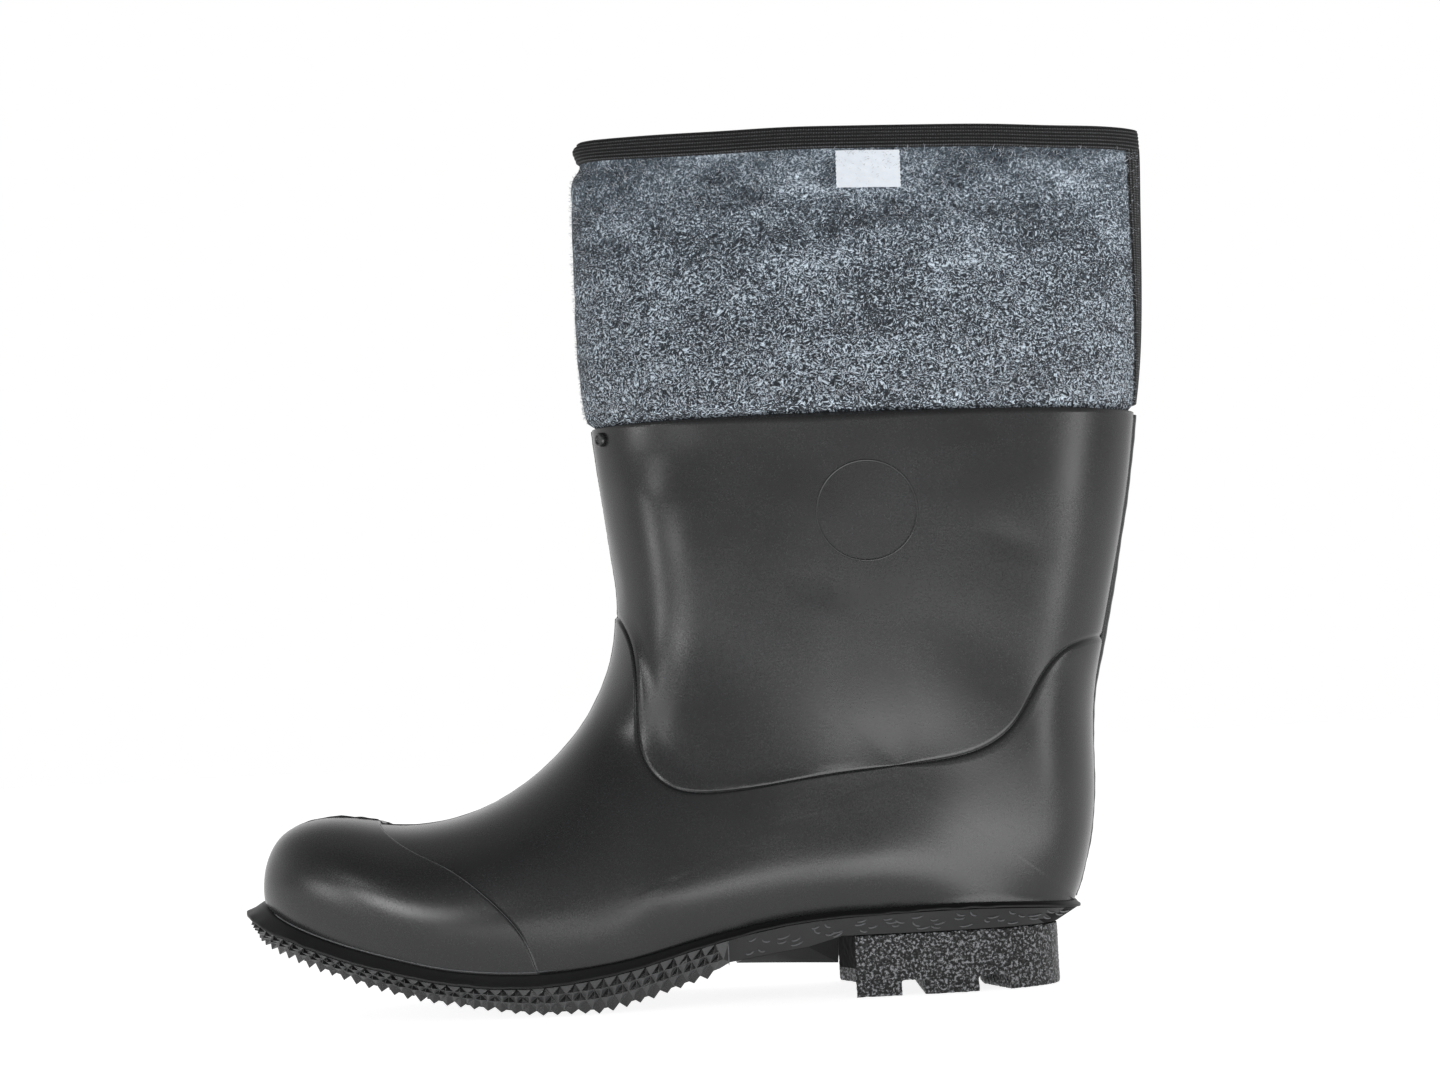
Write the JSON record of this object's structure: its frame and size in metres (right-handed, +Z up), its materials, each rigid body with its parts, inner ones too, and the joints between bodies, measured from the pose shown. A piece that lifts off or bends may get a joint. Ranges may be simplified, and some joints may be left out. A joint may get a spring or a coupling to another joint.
{
  "type": "lined rubber boot",
  "caption": "Left calf-high work boot: hollow moulded rubber foot and shaft with toe cap and studded sole, felt leg above with a bound top edge.",
  "frame": {"origin": "on the floor, under the middle of the boot's bounding box", "axes": "+X from the toe to the heel, +Y from the outer to the inner side of the foot, +Z up"},
  "size_m": [0.346, 0.1056, 0.3185],
  "materials": {
    "rubber": "satin moulded",
    "tread_rubber": "matt moulded",
    "insole_board": "matt",
    "felt": "mottled wool felt",
    "tape": "ribbed woven",
    "woven_label": "woven, blank",
    "stud_rubber": "satin moulded"
  },
  "bodies": {
    "root": {"upper": "rubber", "back_strip": "rubber", "welt": "rubber", "outsole": "tread_rubber", "heel": "tread_rubber", "insole": "insole_board", "felt_shaft": "felt", "top_binding": "tape", "back_binding": "tape", "label": "woven_label", "front_stud": "stud_rubber"}
  },
  "joints": []
}
